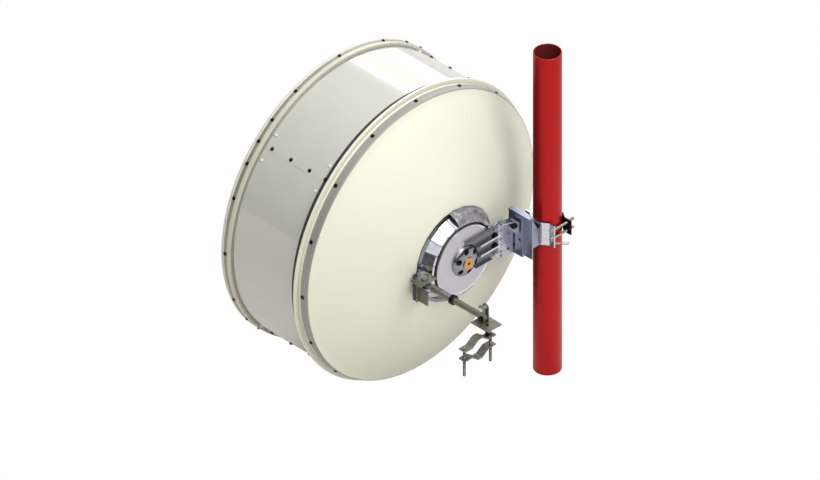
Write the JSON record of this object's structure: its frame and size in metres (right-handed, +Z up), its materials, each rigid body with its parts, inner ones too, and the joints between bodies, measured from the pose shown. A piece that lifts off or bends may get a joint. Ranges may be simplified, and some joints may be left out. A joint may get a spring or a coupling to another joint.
{
  "type": "shrouded microwave dish antenna on a mast pipe",
  "caption": "Round microwave dish with a drum shroud and flat radome, held beside a steel mast pipe by a tilt bracket and clamp, with a side strut and its pipe clamp.",
  "frame": {"origin": "centre of the flat foot of the mast pipe, on its underside", "axes": "+Z up along the mast pipe; -Y is the way the dish looks, so the radome faces -Y; +X from the mast towards the dish axis"},
  "size_m": [1.2914, 1.138, 1.51],
  "materials": {
    "red_paint": "satin red paint on a steel pipe",
    "cream_paint": "satin cream powder coat on spun aluminium",
    "shroud_paint": "semi-gloss pale grey paint on rolled aluminium sheet",
    "radome_skin": "matte glass-fibre skin",
    "hoop_aluminium": "plain rolled aluminium",
    "bright_zinc": "bright zinc plate on steel",
    "hub_plate_zinc": "pale satin zinc plate on steel",
    "channel_zinc": "hot-dip galvanised steel channel",
    "bracket_steel": "blue-grey galvanised steel",
    "galvanised": "dull hot-dip galvanised steel",
    "dark_bolts": "black oxide steel",
    "dark_saddle": "dark weathered steel",
    "pale_bolts": "bright zinc-plated threaded steel",
    "brass": "machined brass"
  },
  "bodies": {
    "mast": {"mast_pipe": "red_paint", "mast_foot_plate": "red_paint"},
    "mast_mount": {"tilt_bracket": "bracket_steel", "pivot_bolt": "dark_bolts", "inner_saddle": "bright_zinc", "outer_saddle": "dark_saddle", "clamp_bolt_front_lower": "pale_bolts", "clamp_bolt_front_upper": "pale_bolts", "clamp_bolt_rear_lower": "pale_bolts", "clamp_bolt_rear_upper": "pale_bolts", "azimuth_screw": "pale_bolts"},
    "dish": {"reflector": "cream_paint", "rear_ring": "cream_paint", "shroud_panel_outer": "shroud_paint", "shroud_panel_bottom": "shroud_paint", "shroud_panel_mast": "shroud_paint", "shroud_panel_top": "shroud_paint", "front_flange": "shroud_paint", "radome_hoop": "hoop_aluminium", "radome": "radome_skin", "hub_ring": "bright_zinc", "hub_plate": "hub_plate_zinc", "feed_boss": "bright_zinc", "feed_flange": "brass", "arm_channel_upper": "channel_zinc", "arm_channel_middle": "channel_zinc", "arm_channel_lower": "channel_zinc", "arm_bolt_upper": "dark_bolts", "arm_bolt_lower": "dark_bolts", "arm_end_bracket": "bracket_steel", "strut_bracket": "galvanised", "swivel_bolt": "dark_bolts"},
    "strut": {"strut_tube": "galvanised", "strut_collar": "dark_bolts"},
    "strut_end": {"strut_rod": "galvanised", "rod_eye": "galvanised", "eye_bolt": "dark_bolts", "clevis_bolt": "bright_zinc", "end_plate": "galvanised", "clamp_post": "dark_bolts", "strut_saddle_upper": "galvanised", "strut_saddle_lower": "galvanised", "strut_clamp_bolt_inner": "galvanised", "strut_clamp_bolt_outer": "galvanised"}
  },
  "joints": [
    {"name": "azimuth_swing", "type": "hinge", "parent": "mast", "child": "mast_mount", "pos_m": [0, 0, 0.69], "axis": [0, 0, 1], "range_deg": [-30, 30]},
    {"name": "dish_tilt", "type": "hinge", "parent": "mast_mount", "child": "dish", "pos_m": [0.131, -0.047, 0.7215], "axis": [-1, 0, 0], "range_deg": [-15, 15]},
    {"name": "strut_swivel", "type": "hinge", "parent": "dish", "child": "strut", "pos_m": [0.6248, -0.055, 0.6875], "axis": [0, 0, 1], "range_deg": [-20, 20]},
    {"name": "strut_slide", "type": "slide", "parent": "strut", "child": "strut_end", "axis": [0, 1, 0], "range_m": [-0.03, 0.04]}
  ]
}
